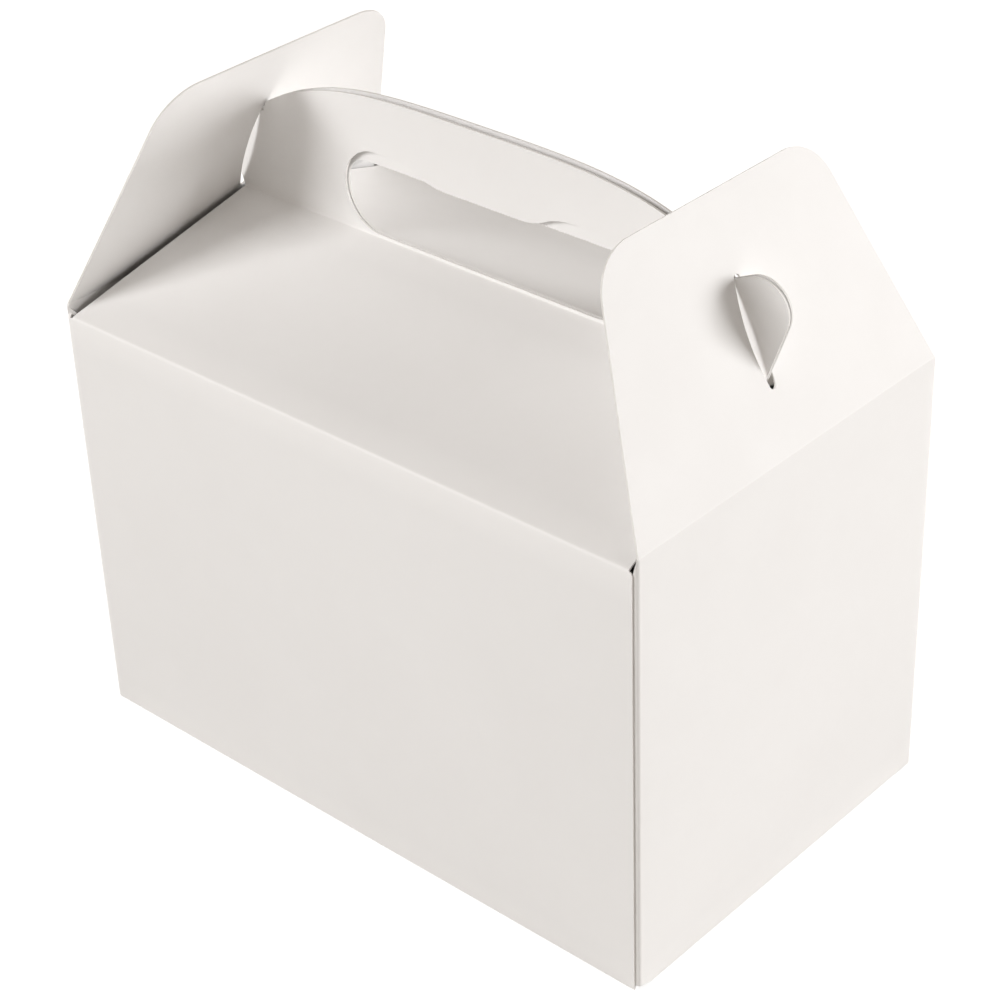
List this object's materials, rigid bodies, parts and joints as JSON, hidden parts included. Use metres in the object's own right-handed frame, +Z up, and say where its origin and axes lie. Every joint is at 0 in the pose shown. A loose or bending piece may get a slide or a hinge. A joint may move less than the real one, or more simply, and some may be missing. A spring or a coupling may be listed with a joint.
{
  "type": "party box",
  "caption": "White card party box with a sloping gable top and a carry handle, closed by end flaps that hook over the ears of the handle.",
  "frame": {"origin": "middle of the base, on the surface that the box stands on", "axes": "+X along the box towards the end beside the glue seam, +Y from the front wall to the back wall, +Z up"},
  "size_m": [0.155, 0.095, 0.1505],
  "materials": {
    "white_card": "smooth coated white folding boxboard, nearly matte"
  },
  "bodies": {
    "carton": {"carton": "white_card"},
    "end_flap_right": {"end_flap_right": "white_card"},
    "end_flap_left": {"end_flap_left": "white_card"}
  },
  "joints": [
    {"name": "end_flap_right_fold", "type": "hinge", "parent": "carton", "child": "end_flap_right", "pos_m": [0.0775, 0, 0.103], "axis": [0, 1, 0], "range_deg": [0, 200]},
    {"name": "end_flap_left_fold", "type": "hinge", "parent": "carton", "child": "end_flap_left", "pos_m": [-0.0775, 0, 0.103], "axis": [0, -1, 0], "range_deg": [0, 200]}
  ]
}
